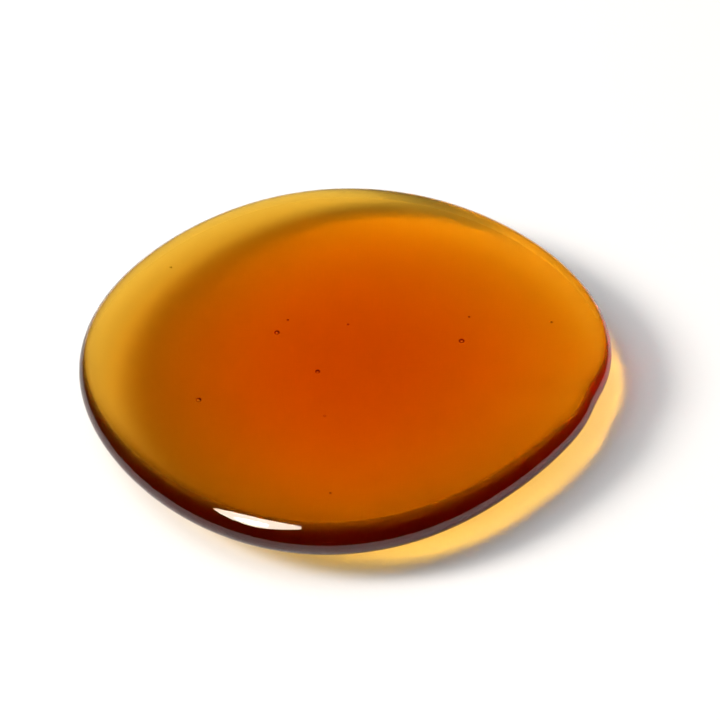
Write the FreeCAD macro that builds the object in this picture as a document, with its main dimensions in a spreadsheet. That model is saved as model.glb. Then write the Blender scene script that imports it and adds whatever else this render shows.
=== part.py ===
import FreeCAD, Part
import math
import os
import Sketcher

# Bow rosin cake: one free-poured lump of clear amber resin, with the air that it trapped
# while it set. Millimetres, +Z up. The origin is on the surface that the cake rests on,
# under the middle of its box.
#
# The cake is a section of tangent arcs (crown, brow, shoulder, rim, heel, belly) over a flat
# foot, carried round a plan outline that is a little out of round. Every level of the cake is
# the plan outline, drawn in towards the axis by as much as the section is there.

DIMENSIONS = {
    # Section through the cake, at the mean radius of its plan
    "PlanRadius": 25.1,       # axis to the rim
    "CakeHeight": 5.67,       # resting surface to the top of the crown
    "RimLevel": 3.9,          # height of the widest point
    "CrownRadius": 730.0,     # the top, nearly flat
    "BrowRadius": 5.0,        # the first, gentle turn down from the crown
    "BrowEdgeTilt": 14.0,     # slope at which the brow hands over to the shoulder, degrees
    "ShoulderRadius": 1.5,
    "RimRadius": 1.2,
    "HeelRadius": 1.4,        # under the rim
    "FootRadius": 3.0,        # flat patch that the cake rests on
    # Plan outline: the size of each wave as a share of PlanRadius, and where its crest is
    "LeanShare": 0.017,
    "LeanAngle": 142.0,
    "OvalShare": 0.031,
    "OvalAngle": 64.0,
    "ThreeLobeShare": 0.013,
    "ThreeLobeAngle": 15.0,
    "FourLobeShare": 0.015,
    "FourLobeAngle": -1.0,
    # Shallow dent in the right of the rim
    "DentShare": 0.012,
    "DentAngle": -14.0,
    "DentSpread": 7.0,
    # The four clear air bubbles: place on the plan, height and radius
    "BubbleOneX": -6.6,
    "BubbleOneY": 2.8,
    "BubbleOneLevel": 3.9,
    "BubbleOneRadius": 0.27,
    "BubbleTwoX": -2.7,
    "BubbleTwoY": -2.9,
    "BubbleTwoLevel": 3.9,
    "BubbleTwoRadius": 0.24,
    "BubbleThreeX": -13.6,
    "BubbleThreeY": -6.9,
    "BubbleThreeLevel": 4.0,
    "BubbleThreeRadius": 0.27,
    "BubbleFourX": 10.8,
    "BubbleFourY": 1.6,
    "BubbleFourLevel": 3.9,
    "BubbleFourRadius": 0.28,
    # Pinhole bubbles, all of one size and height
    "PinholeRadius": 0.12,
    "PinholeLevel": 4.2,
    "PinholeOneX": -5.6,
    "PinholeOneY": 4.5,
    "PinholeTwoX": 0.1,
    "PinholeTwoY": 3.8,
    "PinholeThreeX": 11.6,
    "PinholeThreeY": 5.0,
    "PinholeFourX": 19.4,
    "PinholeFourY": 4.3,
    "PinholeFiveX": -17.1,
    "PinholeFiveY": 12.7,
    "PinholeSixX": -2.0,
    "PinholeSixY": -9.3,
    "PinholeSevenX": -1.4,
    "PinholeSevenY": -19.6,
}
BUBBLES = ("One", "Two", "Three", "Four")
PINHOLES = ("One", "Two", "Three", "Four", "Five", "Six", "Seven")
OUTLINE_POINTS = 90


def make_sheet(doc):
    """The driving dimensions, one to a row: name, value."""
    sheet = doc.addObject("Spreadsheet::Sheet", "Dims")
    for row, (name, value) in enumerate(DIMENSIONS.items(), start=1):
        sheet.set(f"A{row}", name)
        sheet.set(f"B{row}", str(value))
        sheet.setAlias(f"B{row}", name)
    doc.recompute()
    return sheet


def section_arcs(sheet):
    """Centre, radius, start and end angle of each arc, from the crown down to the belly."""
    rim_level = sheet.RimLevel
    crown_centre = FreeCAD.Vector(0, sheet.CakeHeight - sheet.CrownRadius, 0)
    rim_centre = FreeCAD.Vector(sheet.PlanRadius - sheet.RimRadius, rim_level, 0)
    heel_centre = FreeCAD.Vector(sheet.PlanRadius - sheet.HeelRadius, rim_level, 0)

    # Brow and shoulder touch their neighbours from inside, and the step between their own
    # centres has the brow's edge tilt. Less that step, the brow's centre makes a triangle with
    # the crown's and the rim's, on the axis side.
    edge_tilt = math.radians(sheet.BrowEdgeTilt)
    step = FreeCAD.Vector(math.sin(edge_tilt), math.cos(edge_tilt), 0)
    step.multiply(sheet.BrowRadius - sheet.ShoulderRadius)
    to_crown = sheet.CrownRadius - sheet.BrowRadius
    to_rim = sheet.ShoulderRadius - sheet.RimRadius
    span = rim_centre.sub(step).sub(crown_centre)
    along = (span.Length ** 2 + to_crown ** 2 - to_rim ** 2) / (2 * span.Length)
    aside = math.sqrt(to_crown ** 2 - along ** 2)
    unit = FreeCAD.Vector(span).normalize()
    inward = FreeCAD.Vector(-unit.y, unit.x, 0)
    brow_centre = crown_centre.add(unit * along).add(inward * aside)
    shoulder_centre = brow_centre.add(step)

    # The belly passes through the edge of the foot and touches the heel from inside.
    half_sum = (heel_centre.x ** 2 + rim_level ** 2
                - sheet.FootRadius ** 2 - sheet.HeelRadius ** 2) / 2
    lead = rim_level ** 2 - sheet.HeelRadius ** 2
    rest = half_sum ** 2 - (sheet.HeelRadius * sheet.FootRadius) ** 2
    belly_level = (rim_level * half_sum
                   + math.sqrt((rim_level * half_sum) ** 2 - lead * rest)) / lead
    belly_centre = FreeCAD.Vector(0, belly_level, 0)
    belly_radius = math.hypot(sheet.FootRadius, belly_level)

    def heading(start, end):
        return math.atan2(end.y - start.y, end.x - start.x)

    crown_end = heading(crown_centre, brow_centre)
    brow_end = heading(brow_centre, shoulder_centre)
    shoulder_end = heading(shoulder_centre, rim_centre)
    heel_end = heading(belly_centre, heel_centre)
    foot_edge = heading(belly_centre, FreeCAD.Vector(sheet.FootRadius, 0, 0))
    return [
        (crown_centre, sheet.CrownRadius, crown_end, math.pi / 2),
        (brow_centre, sheet.BrowRadius, brow_end, crown_end),
        (shoulder_centre, sheet.ShoulderRadius, shoulder_end, brow_end),
        (rim_centre, sheet.RimRadius, 0, shoulder_end),
        (heel_centre, sheet.HeelRadius, heel_end, 0),
        (belly_centre, belly_radius, foot_edge, heel_end),
    ]


def make_section(doc, sheet):
    """Half section in the XZ plane: a chain of tangent arcs bound to the sheet."""
    sketch = doc.addObject("Sketcher::SketchObject", "HalfSection")
    sketch.Placement = FreeCAD.Placement(
        FreeCAD.Vector(), FreeCAD.Rotation(FreeCAD.Vector(1, 0, 0), 90))
    arcs = section_arcs(sheet)
    for arc_centre, radius, start_angle, end_angle in arcs:
        circle = Part.Circle(arc_centre, FreeCAD.Vector(0, 0, 1), radius)
        sketch.addGeometry(Part.ArcOfCircle(circle, start_angle, end_angle))
    crown, brow, shoulder, rim, heel, belly = range(len(arcs))
    start, end, centre = 1, 2, 3
    origin, origin_point, vertical_axis = -1, 1, -2
    for upper in (crown, brow, shoulder, rim, heel):
        lower = upper + 1
        sketch.addConstraint(Sketcher.Constraint("Tangent", upper, start, lower, end))
    for arc in (crown, belly):
        sketch.addConstraint(Sketcher.Constraint("PointOnObject", arc, centre, vertical_axis))
    sketch.addConstraint(Sketcher.Constraint("PointOnObject", crown, end, vertical_axis))
    sketch.addConstraint(Sketcher.Constraint("Horizontal", rim, start, rim, centre))
    sketch.addConstraint(Sketcher.Constraint("PointOnObject", belly, start, origin))

    def bind(constraint, expression):
        index = sketch.addConstraint(constraint)
        sketch.setExpression(f"Constraints[{index}]", expression)

    radii = ((crown, "CrownRadius"), (brow, "BrowRadius"), (shoulder, "ShoulderRadius"),
             (rim, "RimRadius"), (heel, "HeelRadius"))
    for arc, name in radii:
        bind(Sketcher.Constraint("Radius", arc, getattr(sheet, name)), f"Dims.{name}")
    from_origin = (
        ("DistanceY", crown, end, "CakeHeight"),
        ("DistanceX", rim, start, "PlanRadius"),
        ("DistanceY", rim, start, "RimLevel"),
        ("DistanceX", belly, start, "FootRadius"),
    )
    for kind, arc, point, name in from_origin:
        bind(Sketcher.Constraint(kind, origin, origin_point, arc, point, getattr(sheet, name)),
             f"Dims.{name}")
    edge_run = sheet.BrowRadius * math.sin(math.radians(sheet.BrowEdgeTilt))
    bind(Sketcher.Constraint("DistanceX", brow, centre, brow, start, edge_run),
         "Dims.BrowRadius * sin(Dims.BrowEdgeTilt * 1deg)")
    return sketch


def plan_radius(sheet, angle):
    """Plan radius at an angle in radians: a circle with four low waves and a dent on it."""
    waves = ((1, sheet.LeanShare, sheet.LeanAngle),
             (2, sheet.OvalShare, sheet.OvalAngle),
             (3, sheet.ThreeLobeShare, sheet.ThreeLobeAngle),
             (4, sheet.FourLobeShare, sheet.FourLobeAngle))
    share = 1.0
    for count, size, crest in waves:
        share += size * math.cos(count * (angle - math.radians(crest)))
    from_dent = math.remainder(angle - math.radians(sheet.DentAngle), 2 * math.pi)
    share -= sheet.DentShare * math.exp(-(from_dent / math.radians(sheet.DentSpread)) ** 2)
    return sheet.PlanRadius * share


def make_outline(doc, sheet):
    """Plan outline at the rim: one closed smooth curve."""
    outline = doc.addObject("Part::Feature", "PlanOutline")
    points = []
    for index in range(OUTLINE_POINTS):
        angle = 2 * math.pi * index / OUTLINE_POINTS
        radius = plan_radius(sheet, angle)
        points.append(FreeCAD.Vector(radius * math.cos(angle), radius * math.sin(angle), 0))
    curve = Part.BSplineCurve()
    curve.interpolate(Points=points, PeriodicFlag=True)
    outline.Shape = curve.toShape()
    return outline


def swept_face(plan, arc, mean_radius):
    """One arc of the section carried round the plan: its poles are plan poles times section
    poles, so every level of the face is the plan outline to a smaller scale."""
    rows = []
    weights = []
    for plan_pole in plan.getPoles():
        row = []
        for pole in arc.getPoles():
            scale = pole.x / mean_radius
            row.append(FreeCAD.Vector(plan_pole.x * scale, plan_pole.y * scale, pole.y))
        rows.append(row)
        weights.append(arc.getWeights())
    surface = Part.BSplineSurface()
    surface.buildFromPolesMultsKnots(
        rows, plan.getMultiplicities(), arc.getMultiplicities(), plan.getKnots(),
        arc.getKnots(), plan.isPeriodic(), False, plan.Degree, arc.Degree, weights)
    return surface.toShape()


def make_skin(doc, sheet, section, outline):
    """The whole lump before its bubbles: a free-form skin closed by the flat foot.

    A revolved pad would be truly round, which a freely poured cake is not, and a loft through
    a stack of outlines would ripple between them. So each arc of the section is swept into a
    face of its own, and neighbouring faces share the plan outline as their seam.
    """
    plan = outline.Shape.Edges[0].Curve
    faces = []
    for geometry in section.Geometry:
        faces.append(swept_face(plan, geometry.toNurbs(), sheet.PlanRadius))
    foot_curve = plan.copy()
    foot_scale = sheet.FootRadius / sheet.PlanRadius
    for index, pole in enumerate(plan.getPoles(), start=1):
        foot_curve.setPole(index, pole * foot_scale)
    faces.append(Part.Face(Part.Wire(foot_curve.toShape())))
    shell = Part.makeShell(faces)
    shell.sewShape()
    solid = Part.makeSolid(shell)
    if solid.Volume < 0:
        solid.reverse()
    skin = doc.addObject("Part::Feature", "CastSkin")
    skin.Shape = solid
    return skin


def make_ball(doc, name, place, level, radius):
    """A ball of air whose place, height and radius are bound to the sheet."""
    ball = doc.addObject("Part::Sphere", name)
    ball.setExpression("Radius", f"Dims.{radius}")
    ball.setExpression("Placement.Base.x", f"Dims.{place}X")
    ball.setExpression("Placement.Base.y", f"Dims.{place}Y")
    ball.setExpression("Placement.Base.z", f"Dims.{level}")
    return ball


def make_bubbles(doc):
    """The clear bubbles, each a ball of air of its own."""
    bubbles = []
    for number, word in enumerate(BUBBLES, start=1):
        name = f"Bubble{word}"
        ball = make_ball(doc, name, name, f"{name}Level", f"{name}Radius")
        ball.Label = f"air_bubble_{number}"
        bubbles.append(ball)
    return bubbles


def make_pinholes(doc):
    """The pinhole bubbles, in one group of separate balls."""
    pinholes = doc.addObject("Part::Compound", "Pinholes")
    balls = []
    for word in PINHOLES:
        name = f"Pinhole{word}"
        balls.append(make_ball(doc, name, name, "PinholeLevel", "PinholeRadius"))
    pinholes.Links = balls
    pinholes.Label = "pinhole_bubbles"
    return pinholes


def make_cake(doc, skin, bubbles, pinholes):
    """The resin itself: the skin's solid with a cavity for each ball of air."""
    air = doc.addObject("Part::Compound", "TrappedAir")
    air.Links = bubbles + [pinholes]
    cake = doc.addObject("Part::Cut", "RosinCake")
    cake.Base = skin
    cake.Tool = air
    cake.Label = "rosin_cake"
    return cake


def check(doc, pieces):
    """Stops unless every object was worked out and every piece is a sound solid."""
    for item in doc.Objects:
        if "Invalid" in item.State or "Error" in item.State:
            raise RuntimeError(f"{item.Label} failed: {item.State}")
    for piece in pieces:
        shape = piece.Shape
        if shape.isNull() or not shape.isValid() or shape.Volume <= 0:
            raise RuntimeError(f"{piece.Label} is not a sound solid")


def main():
    doc = FreeCAD.newDocument("RosinCake")
    sheet = make_sheet(doc)
    section = make_section(doc, sheet)
    doc.recompute()
    outline = make_outline(doc, sheet)
    skin = make_skin(doc, sheet, section, outline)
    bubbles = make_bubbles(doc)
    pinholes = make_pinholes(doc)
    cake = make_cake(doc, skin, bubbles, pinholes)
    doc.recompute()

    pieces = [cake] + bubbles + [pinholes]
    check(doc, pieces)
    os.makedirs("parts", exist_ok=True)
    for piece in pieces:
        piece.Shape.exportStep(f"parts/{piece.Label}.step")
        box = piece.Shape.BoundBox
        print(f"{piece.Label}: {piece.Shape.Volume:.3f} mm3, {len(piece.Shape.Solids)} solid(s), "
              f"{box.XLength:.2f} x {box.YLength:.2f} x {box.ZLength:.2f} mm, "
              f"centre {box.Center.x:.2f} {box.Center.y:.2f}")


main()
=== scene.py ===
import math

import bpy
from mathutils import Matrix, Vector


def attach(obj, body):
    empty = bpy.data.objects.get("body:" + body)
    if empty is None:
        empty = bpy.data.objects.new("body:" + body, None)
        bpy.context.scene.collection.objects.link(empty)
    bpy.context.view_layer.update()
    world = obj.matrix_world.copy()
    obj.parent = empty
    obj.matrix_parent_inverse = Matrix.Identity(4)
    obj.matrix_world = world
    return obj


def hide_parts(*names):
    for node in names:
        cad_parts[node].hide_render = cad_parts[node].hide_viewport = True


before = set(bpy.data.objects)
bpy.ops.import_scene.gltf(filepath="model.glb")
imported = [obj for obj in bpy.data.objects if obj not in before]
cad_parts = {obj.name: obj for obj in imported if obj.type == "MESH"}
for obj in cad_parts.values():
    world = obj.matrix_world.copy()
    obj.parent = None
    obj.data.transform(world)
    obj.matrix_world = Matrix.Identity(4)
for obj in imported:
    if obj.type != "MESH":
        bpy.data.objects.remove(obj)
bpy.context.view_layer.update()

# Bow rosin cake: one glossy poured lump of amber resin on a pale paper floor. Sizes are in
# metres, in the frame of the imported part: +Z up, origin under the middle of the cake.

MM = 0.001

# Section of the cake, from the crown down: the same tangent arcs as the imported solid.
SECTION = {
    "Plan Radius": 25.1 * MM,
    "Cake Height": 5.67 * MM,
    "Rim Level": 3.9 * MM,
    "Crown Radius": 730.0 * MM,
    "Brow Radius": 5.0 * MM,
    "Brow Edge Tilt": math.radians(14.0),
    "Shoulder Radius": 1.5 * MM,
    "Rim Radius": 1.2 * MM,
    "Heel Radius": 1.4 * MM,
    "Foot Radius": 3.0 * MM,
}
# Plan outline: waves round the rim as (name, crests, share of the plan radius, crest's angle).
OUTLINE_WAVES = (
    ("Lean", 1, 0.017, 142.0),
    ("Oval", 2, 0.031, 64.0),
    ("Three Lobe", 3, 0.013, 15.0),
    ("Four Lobe", 4, 0.015, -1.0),
)
# Shallow dent in the right of the rim.
DENT = {
    "Dent Share": 0.012,
    "Dent Angle": math.radians(-14.0),
    "Dent Spread": math.radians(7.0),
}
MESH_STEPS = {"Steps Round": 480, "Ball Steps": 4}
MERGE_GAP = 0.0005 * MM

# The resin. Its underside is satin, and the heel fades from satin to clear on its way up.
RESIN_IOR = 1.53
RESIN_TINT = (0.952, 0.77, 0.0, 1)
RESIN_DENSITY = 950
SATIN_AT_FOOT, SATIN_AT_HEEL, HEEL_LEVEL = 0.12, 0.3, 3.0 * MM
FADE_FROM, FADE_TO = 2.9 * MM, 3.6 * MM

# The paper lies just under the foot, so that the two faces don't coincide.
PAPER_LEVEL = -0.05 * MM
PAPER_HALF_WIDTH = 1.5

KEY_COLOUR = (1, 0.93, 0.86)
PEACH = (1, 0.86, 0.72)
GLINT_RED = (1, 0.3, 0.25)
WHITE = (1, 1, 1)
FILL_STRENGTH = 0.28
CAMERA_ELEVATION = 40


# ---------------------------------------------------------------- node helpers
class Maths:
    """Short calls for a node tree that works out a shape from numbers."""

    def __init__(self, tree):
        self.tree = tree

    def node(self, type_name, **settings):
        made = self.tree.nodes.new(type_name)
        for name, value in settings.items():
            setattr(made, name, value)
        return made

    def feed(self, socket, value):
        if isinstance(value, bpy.types.NodeSocket):
            self.tree.links.new(value, socket)
        else:
            socket.default_value = value

    def do(self, operation, first, second=None):
        made = self.node("ShaderNodeMath", operation=operation)
        self.feed(made.inputs[0], first)
        if second is not None:
            self.feed(made.inputs[1], second)
        return made.outputs[0]

    def add(self, first, second):
        return self.do("ADD", first, second)

    def sub(self, first, second):
        return self.do("SUBTRACT", first, second)

    def mul(self, first, second):
        return self.do("MULTIPLY", first, second)

    def div(self, first, second):
        return self.do("DIVIDE", first, second)

    def clamp(self, value):
        made = self.node("ShaderNodeClamp")
        self.feed(made.inputs[0], value)
        return made.outputs[0]

    def spread(self, value, start, end, at_start, at_end):
        """Runs from one number to another while the value runs from start to end."""
        made = self.node("ShaderNodeMapRange")
        self.feed(made.inputs["Value"], value)
        self.feed(made.inputs["From Min"], start)
        self.feed(made.inputs["From Max"], end)
        self.feed(made.inputs["To Min"], at_start)
        self.feed(made.inputs["To Max"], at_end)
        return made.outputs["Result"]


# ---------------------------------------------------------------- the cake's shape
def section_tilts(size):
    """Tilt from level at which each arc hands over to the next, and the belly's radius."""
    rim_level = size["Rim Level"]
    crown_level = size["Cake Height"] - size["Crown Radius"]
    rim_x = size["Plan Radius"] - size["Rim Radius"]
    heel_x = size["Plan Radius"] - size["Heel Radius"]
    to_crown = size["Crown Radius"] - size["Brow Radius"]
    to_rim = size["Shoulder Radius"] - size["Rim Radius"]
    # Less the step from the brow's centre to the shoulder's, the brow's centre makes a
    # triangle with the crown's and the rim's.
    step = size["Brow Radius"] - size["Shoulder Radius"]
    run = rim_x - step * math.sin(size["Brow Edge Tilt"])
    rise = rim_level - step * math.cos(size["Brow Edge Tilt"]) - crown_level
    span = math.hypot(run, rise)
    lean = math.acos((span ** 2 + to_crown ** 2 - to_rim ** 2) / (2 * span * to_crown))
    crown_edge = math.atan2(run, rise) - lean
    shoulder_edge = math.atan2(run - to_crown * math.sin(crown_edge),
                               rise - to_crown * math.cos(crown_edge))
    # The belly's centre is on the axis; it passes through the foot's edge.
    heel, foot = size["Heel Radius"], size["Foot Radius"]
    half_sum = (heel_x ** 2 + rim_level ** 2 - foot ** 2 - heel ** 2) / 2
    lead = rim_level ** 2 - heel ** 2
    rest = half_sum ** 2 - (heel * foot) ** 2
    belly_level = (rim_level * half_sum
                   + math.sqrt((rim_level * half_sum) ** 2 - lead * rest)) / lead
    return {
        "Crown Edge Tilt": crown_edge,
        "Shoulder Edge Tilt": shoulder_edge,
        "Belly Edge Tilt": math.pi - math.atan2(heel_x, belly_level - rim_level),
        "Foot Edge Tilt": math.pi - math.asin(foot / math.hypot(foot, belly_level)),
        "Belly Radius": math.hypot(foot, belly_level),
    }


def cake_tree(inputs, material):
    """Geometry nodes for the poured cake: a sheet of steps along the section and round the
    plan, bent to the section's arcs and the plan's waves, with a cavity at each point that
    comes in."""
    tree = bpy.data.node_groups.new("PouredCake", "GeometryNodeTree")
    face = tree.interface
    face.new_socket("Air Balls", in_out="INPUT", socket_type="NodeSocketGeometry")
    for name, value in inputs.items():
        whole = isinstance(value, int)
        socket = face.new_socket(name, in_out="INPUT",
                                 socket_type="NodeSocketInt" if whole else "NodeSocketFloat")
        socket.default_value = value
    face.new_socket("Geometry", in_out="OUTPUT", socket_type="NodeSocketGeometry")
    do = Maths(tree)
    size = do.node("NodeGroupInput").outputs

    # A flat sheet one unit each way carries the two steps.
    arcs = (
        ("Crown Radius", 0.0, "Crown Edge Tilt", 40),
        ("Brow Radius", "Crown Edge Tilt", "Brow Edge Tilt", 12),
        ("Shoulder Radius", "Brow Edge Tilt", "Shoulder Edge Tilt", 18),
        ("Rim Radius", "Shoulder Edge Tilt", math.pi / 2, 14),
        ("Heel Radius", math.pi / 2, "Belly Edge Tilt", 16),
        ("Belly Radius", "Belly Edge Tilt", "Foot Edge Tilt", 40),
    )
    foot_steps = 6
    steps = sum(arc[-1] for arc in arcs) + foot_steps
    sheet = do.node("GeometryNodeMeshGrid")
    sheet.inputs["Size X"].default_value = 1
    sheet.inputs["Size Y"].default_value = 1
    sheet.inputs["Vertices X"].default_value = steps + 1
    do.feed(sheet.inputs["Vertices Y"], do.add(size["Steps Round"], 1))
    place = do.node("ShaderNodeSeparateXYZ")
    do.feed(place.inputs[0], do.node("GeometryNodeInputPosition").outputs[0])
    progress = do.mul(do.add(place.outputs["X"], 0.5), steps)
    turn = do.mul(do.add(place.outputs["Y"], 0.5), 2 * math.pi)

    # Along the section each arc adds its own run outwards and drop.
    out, level = 0.0, size["Cake Height"]
    begun = 0
    for radius, first, last, count in arcs:
        first = size[first] if isinstance(first, str) else first
        last = size[last] if isinstance(last, str) else last
        share = do.clamp(do.div(do.sub(progress, begun), count))
        tilt = do.add(first, do.mul(do.sub(last, first), share))
        run = do.sub(do.do("SINE", tilt), do.do("SINE", first))
        drop = do.sub(do.do("COSINE", tilt), do.do("COSINE", first))
        out = do.add(out, do.mul(size[radius], run))
        level = do.add(level, do.mul(size[radius], drop))
        begun += count
    share = do.clamp(do.div(do.sub(progress, begun), foot_steps))
    out = do.sub(out, do.mul(size["Foot Radius"], share))

    # Round the plan the same wave goes through every level.
    wave = 1.0
    for name, count, _, _ in OUTLINE_WAVES:
        phase = do.mul(do.sub(turn, size[f"{name} Angle"]), count)
        wave = do.add(wave, do.mul(size[f"{name} Share"], do.do("COSINE", phase)))
    from_dent = do.node("ShaderNodeMath", operation="WRAP")
    do.feed(from_dent.inputs[0], do.sub(turn, size["Dent Angle"]))
    from_dent.inputs[1].default_value = math.pi
    from_dent.inputs[2].default_value = -math.pi
    spread = do.do("POWER", do.div(from_dent.outputs[0], size["Dent Spread"]), 2.0)
    dent = do.mul(size["Dent Share"], do.do("EXPONENT", do.mul(spread, -1.0)))
    reach = do.mul(out, do.sub(wave, dent))
    bent = do.node("ShaderNodeCombineXYZ")
    do.feed(bent.inputs["X"], do.mul(reach, do.do("COSINE", turn)))
    do.feed(bent.inputs["Y"], do.mul(reach, do.do("SINE", turn)))
    do.feed(bent.inputs["Z"], level)
    skin = do.node("GeometryNodeSetPosition")
    do.feed(skin.inputs["Geometry"], sheet.outputs["Mesh"])
    do.feed(skin.inputs["Position"], bent.outputs[0])
    closed = do.node("GeometryNodeMergeByDistance")
    do.feed(closed.inputs["Geometry"], skin.outputs[0])
    closed.inputs["Distance"].default_value = MERGE_GAP

    # A cavity is a ball turned inside out, so that its faces look away from the resin.
    ball = do.node("GeometryNodeMeshIcoSphere")
    ball.inputs["Radius"].default_value = 1
    do.feed(ball.inputs["Subdivisions"], size["Ball Steps"])
    radius = do.node("GeometryNodeInputNamedAttribute", data_type="FLOAT")
    radius.inputs["Name"].default_value = "ball_radius"
    balls = do.node("GeometryNodeInstanceOnPoints")
    do.feed(balls.inputs["Points"], size["Air Balls"])
    do.feed(balls.inputs["Instance"], ball.outputs["Mesh"])
    do.feed(balls.inputs["Scale"], radius.outputs["Attribute"])
    loose = do.node("GeometryNodeRealizeInstances")
    do.feed(loose.inputs[0], balls.outputs[0])
    cavities = do.node("GeometryNodeFlipFaces")
    do.feed(cavities.inputs[0], loose.outputs[0])

    joined = do.node("GeometryNodeJoinGeometry")
    do.feed(joined.inputs[0], cavities.outputs[0])
    do.feed(joined.inputs[0], closed.outputs[0])
    smooth = do.node("GeometryNodeSetShadeSmooth")
    do.feed(smooth.inputs[0], joined.outputs[0])
    painted = do.node("GeometryNodeSetMaterial")
    painted.inputs["Material"].default_value = material
    do.feed(painted.inputs[0], smooth.outputs[0])
    do.feed(do.node("NodeGroupOutput").inputs[0], painted.outputs[0])
    return tree


def balls_of(node):
    """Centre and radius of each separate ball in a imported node."""
    groups = []
    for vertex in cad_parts[node].data.vertices:
        for group in groups:
            if (vertex.co - group[0]).length < 1 * MM:
                group.append(vertex.co.copy())
                break
        else:
            groups.append([vertex.co.copy()])
    balls = []
    for group in groups:
        low = Vector(min(point[axis] for point in group) for axis in range(3))
        high = Vector(max(point[axis] for point in group) for axis in range(3))
        balls.append(((low + high) / 2, (high - low).z / 2))
    return balls


def make_cake(material, air_nodes):
    """The cake as one closed skin with its cavities, from the node tree."""
    balls = [ball for node in air_nodes for ball in balls_of(node)]
    points = bpy.data.meshes.new("air_balls")
    points.from_pydata([centre for centre, _ in balls], [], [])
    radii = points.attributes.new("ball_radius", "FLOAT", "POINT")
    for slot, (_, radius) in zip(radii.data, balls):
        slot.value = radius

    inputs = dict(SECTION)
    inputs.update(section_tilts(SECTION))
    for name, _, share, crest in OUTLINE_WAVES:
        inputs[f"{name} Share"] = share
        inputs[f"{name} Angle"] = math.radians(crest)
    inputs.update(DENT)
    inputs.update(MESH_STEPS)
    grown = bpy.data.objects.new("growing_cake", points)
    bpy.context.scene.collection.objects.link(grown)
    modifier = grown.modifiers.new("PouredCake", "NODES")
    modifier.node_group = cake_tree(inputs, material)
    mesh = bpy.data.meshes.new_from_object(
        grown.evaluated_get(bpy.context.evaluated_depsgraph_get()))
    bpy.data.objects.remove(grown)
    mesh.name = "rosin_cake_skin"
    cake = bpy.data.objects.new("rosin_cake_skin", mesh)
    bpy.context.scene.collection.objects.link(cake)
    return cake


# ---------------------------------------------------------------- materials
def new_material(name):
    material = bpy.data.materials.new(name)
    material.use_nodes = True
    return material, material.node_tree, material.node_tree.nodes["Principled BSDF"]


def amber_resin():
    """Clear amber resin: glossy where it set in air, and a little satin underneath."""
    material, tree, surface = new_material("amber_resin")
    do = Maths(tree)
    surface.inputs["Base Color"].default_value = (1, 1, 1, 1)
    surface.inputs["Transmission Weight"].default_value = 1
    surface.inputs["IOR"].default_value = RESIN_IOR
    place = do.node("ShaderNodeTexCoord").outputs["Object"]
    parts = do.node("ShaderNodeSeparateXYZ")
    do.feed(parts.inputs[0], place)
    satin = do.mul(
        do.spread(parts.outputs["Z"], 0, HEEL_LEVEL, SATIN_AT_FOOT, SATIN_AT_HEEL),
        do.spread(parts.outputs["Z"], FADE_FROM, FADE_TO, 1, 0))
    do.feed(surface.inputs["Roughness"], satin)
    body = do.node("ShaderNodeVolumeAbsorption")
    body.inputs["Color"].default_value = RESIN_TINT
    body.inputs["Density"].default_value = RESIN_DENSITY
    do.feed(tree.nodes["Material Output"].inputs["Volume"], body.outputs[0])
    return material


def paper():
    """Pale matt paper with a fine tooth."""
    material, tree, surface = new_material("pale_paper")
    do = Maths(tree)
    surface.inputs["Base Color"].default_value = (0.9, 0.9, 0.9, 1)
    surface.inputs["Roughness"].default_value = 1
    surface.inputs["Specular IOR Level"].default_value = 0
    grain = do.node("ShaderNodeTexNoise")
    do.feed(grain.inputs["Vector"], do.node("ShaderNodeTexCoord").outputs["Object"])
    grain.inputs["Scale"].default_value = 1 / (0.6 * MM)
    grain.inputs["Detail"].default_value = 3
    bump = do.node("ShaderNodeBump")
    bump.inputs["Strength"].default_value = 0.25
    bump.inputs["Distance"].default_value = 0.05 * MM
    do.feed(bump.inputs["Height"], grain.outputs[0])
    do.feed(surface.inputs["Normal"], bump.outputs[0])
    return material


# ---------------------------------------------------------------- stage, light and camera
def make_floor():
    """A wide sheet of paper under the cake."""
    mesh = bpy.data.meshes.new("paper_floor")
    half = PAPER_HALF_WIDTH
    corners = [(-half, -half), (half, -half), (half, half), (-half, half)]
    mesh.from_pydata([(x, y, PAPER_LEVEL) for x, y in corners], [], [(0, 1, 2, 3)])
    mesh.materials.append(paper())
    floor = bpy.data.objects.new("paper_floor", mesh)
    bpy.context.scene.collection.objects.link(floor)


def from_front_left(azimuth, elevation):
    """Direction towards a lamp, its azimuth turned from -X towards the front."""
    turn, rise = math.radians(azimuth), math.radians(elevation)
    return Vector((-math.cos(rise) * math.cos(turn), -math.cos(rise) * math.sin(turn),
                   math.sin(rise)))


def make_lamp(name, toward, upright, distance, width, height, radiance, colour):
    """A softbox that faces the cake. Width and height are angles seen from the cake."""
    data = bpy.data.lights.new(name, "AREA")
    data.shape = "ELLIPSE"
    data.size = width * distance
    data.size_y = height * distance
    data.energy = radiance * math.pi * (math.pi / 4 * data.size * data.size_y)
    data.color = colour
    lamp = bpy.data.objects.new(name, data)
    lamp.location = toward * distance
    lamp.rotation_mode = "QUATERNION"
    across = upright.cross(toward).normalized()
    turn = Matrix((across, toward.cross(across), toward)).transposed()
    lamp.rotation_quaternion = turn.to_quaternion()
    bpy.context.scene.collection.objects.link(lamp)
    return lamp


def mirrored(view_back, lean, heading):
    """Direction that a face mirrors into the camera, from the face's lean and heading."""
    lean, heading = math.radians(lean), math.radians(heading)
    facing = Vector((math.sin(lean) * math.cos(heading), math.sin(lean) * math.sin(heading),
                     math.cos(lean)))
    return 2 * facing.dot(view_back) * facing - view_back


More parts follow.
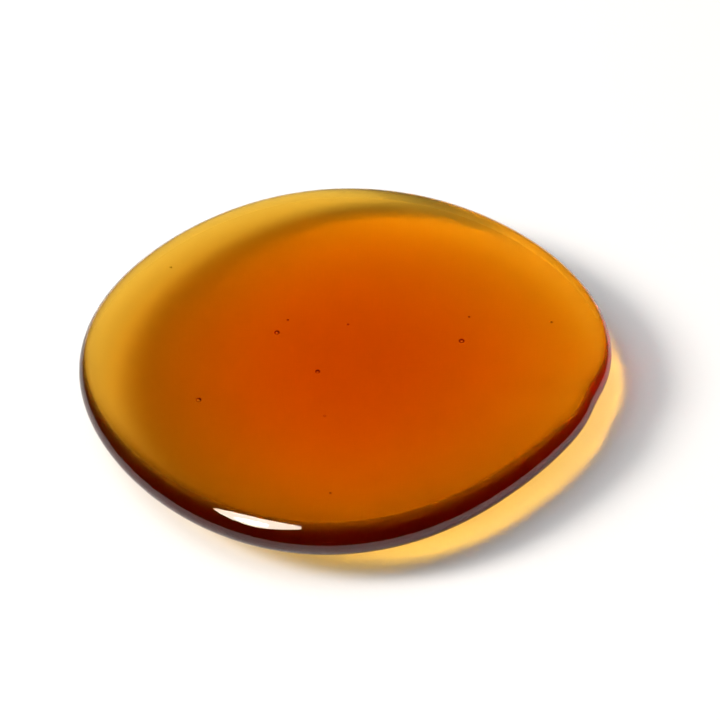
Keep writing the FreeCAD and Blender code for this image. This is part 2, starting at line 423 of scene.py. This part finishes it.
def light_stage(view_back):
    """A warm key with a bright middle, a softbox overhead, even fill, and three lamps that
    only shine on glossy faces: two for the shoulder and one for the front of the rim."""
    key, overhead = from_front_left(6, 33), from_front_left(0, 60)
    up = Vector((0, 0, 1))
    for name, toward, distance, width, height, radiance, colour in (
            ("key_middle", key, 0.98, 0.20, 0.30, 26, KEY_COLOUR),
            ("key_softbox", key, 1.0, 0.42, 0.42, 18, KEY_COLOUR),
            ("high_softbox", overhead, 1.2, 0.9, 0.9, 2.4, WHITE)):
        lamp = make_lamp(name, toward, up, distance, width, height, radiance, colour)
        lamp.visible_glossy = False

    # The tall side of the shoulder's lamps follows the way its face turns down.
    shoulder = mirrored(view_back, 22, 247)
    down_shoulder = mirrored(view_back, 23, 247) - shoulder
    front = Vector((0, -0.866, 0.5))
    for name, toward, upright, distance, width, height, radiance, colour in (
            ("shine_middle", shoulder, down_shoulder, 0.78, 0.10, 0.42, 50, WHITE),
            ("shine_softbox", shoulder, down_shoulder, 0.8, 0.24, 0.78, 20, PEACH),
            ("front_glint", front, up, 0.8, 0.10, 0.04, 2.5, GLINT_RED)):
        lamp = make_lamp(name, toward, upright, distance, width, height, radiance, colour)
        lamp.visible_diffuse = False
        lamp.visible_transmission = False

    world = bpy.data.worlds.new("studio")
    bpy.context.scene.world = world
    world.use_nodes = True
    do = Maths(world.node_tree)
    seen = do.node("ShaderNodeLightPath").outputs["Is Camera Ray"]
    sky = world.node_tree.nodes["Background"]
    sky.inputs["Color"].default_value = (1, 1, 1, 1)
    do.feed(sky.inputs["Strength"],
            do.add(FILL_STRENGTH, do.mul(seen, 1 - FILL_STRENGTH)))
    world.cycles_visibility.glossy = False


def make_camera():
    """A long lens from the front, looking down on the cake."""
    elevation = math.radians(CAMERA_ELEVATION)
    lens, sensor = 150.0, 36.0
    view_width = 67.4 * MM
    aim = Vector((1.24 * MM, -0.94 * MM, 4.55 * MM))
    back = Vector((0, -math.cos(elevation), math.sin(elevation)))
    data = bpy.data.cameras.new("camera")
    data.lens = lens
    data.sensor_width = sensor
    data.clip_start = 0.01
    camera = bpy.data.objects.new("camera", data)
    camera.location = aim + back * (view_width * lens / sensor)
    camera.rotation_mode = "QUATERNION"
    camera.rotation_quaternion = back.to_track_quat("Z", "Y")
    bpy.context.scene.collection.objects.link(camera)
    bpy.context.scene.camera = camera
    return back


def settle_render():
    """Plain colours and enough bounces for light to cross the resin."""
    scene = bpy.context.scene
    scene.view_settings.view_transform = "Standard"
    scene.cycles.max_bounces = 20
    scene.cycles.transmission_bounces = 20
    scene.cycles.glossy_bounces = 8
    scene.cycles.diffuse_bounces = 4
    scene.cycles.blur_glossy = 0.0
    scene.cycles.sample_clamp_indirect = 20.0


AIR_NODES = [node for node in sorted(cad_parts) if node != "rosin_cake"]
cake = make_cake(amber_resin(), AIR_NODES)
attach(cake, "root")
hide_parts("rosin_cake", *AIR_NODES)
make_floor()
light_stage(make_camera())
settle_render()
